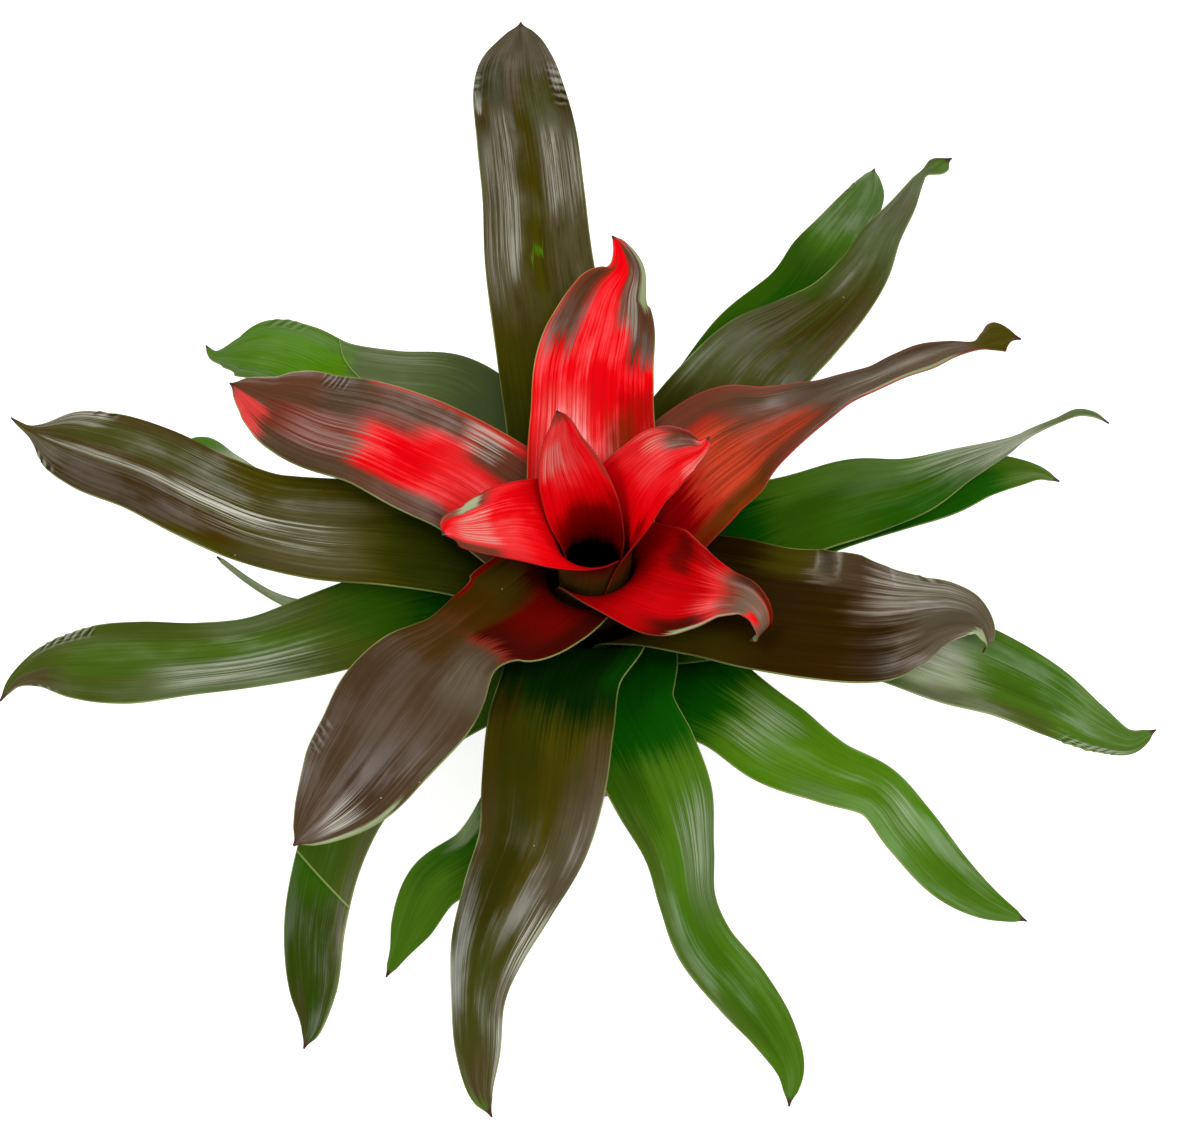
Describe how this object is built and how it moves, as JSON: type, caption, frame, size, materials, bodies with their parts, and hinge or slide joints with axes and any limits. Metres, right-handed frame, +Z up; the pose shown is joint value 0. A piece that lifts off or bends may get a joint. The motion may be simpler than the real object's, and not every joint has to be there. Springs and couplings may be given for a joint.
{
  "type": "potted neoregelia bromeliad",
  "caption": "Neoregelia bromeliad: a wide open rosette of strap leaves, red at the cup and green below, on a short stem in a plain nursery pot.",
  "frame": {"origin": "centre of the pot's underside, on the surface it stands on", "axes": "+Z up the plant's stem; -Y towards the side that the plant is seen from"},
  "size_m": [0.5244, 0.5681, 0.2403],
  "materials": {
    "cup_leaf": "waxy satin leaf, deep red",
    "red_leaf": "waxy satin leaf, red with bronze bands",
    "bronze_leaf": "waxy satin leaf, bronze brown over green",
    "green_leaf": "waxy satin leaf, green, paler below",
    "pot": "moulded plastic, dark, satin",
    "soil": "damp potting mix of bark, coir and perlite",
    "stem": "fibrous pale brown"
  },
  "bodies": {
    "root": {"pot": "pot", "soil": "soil", "stem": "stem", "leaf_01_cup_back": "cup_leaf", "leaf_02_cup_left": "cup_leaf", "leaf_03_cup_right": "cup_leaf", "leaf_04_red_front": "red_leaf", "leaf_05_red_lower_left": "red_leaf", "leaf_06_red_back": "red_leaf", "leaf_07_red_left": "red_leaf", "leaf_08_red_right": "red_leaf", "leaf_09_bronze_back": "bronze_leaf", "leaf_10_bronze_left": "bronze_leaf", "leaf_11_bronze_right": "bronze_leaf", "leaf_12_bronze_front": "bronze_leaf", "leaf_13_bronze_upper_right": "bronze_leaf", "leaf_14_green_left": "green_leaf", "leaf_15_green_upper_left": "green_leaf", "leaf_16_green_front": "green_leaf", "leaf_17_green_lower_right": "green_leaf", "leaf_18_green_lower_left": "green_leaf", "leaf_19_green_upper_right": "green_leaf", "leaf_20_green_right": "green_leaf", "leaf_21_green_front_right": "green_leaf", "leaf_22_green_under_front": "green_leaf", "leaf_23_green_under_right": "green_leaf", "leaf_24_green_under_back": "green_leaf", "leaf_25_green_under_left": "green_leaf"}
  },
  "joints": []
}
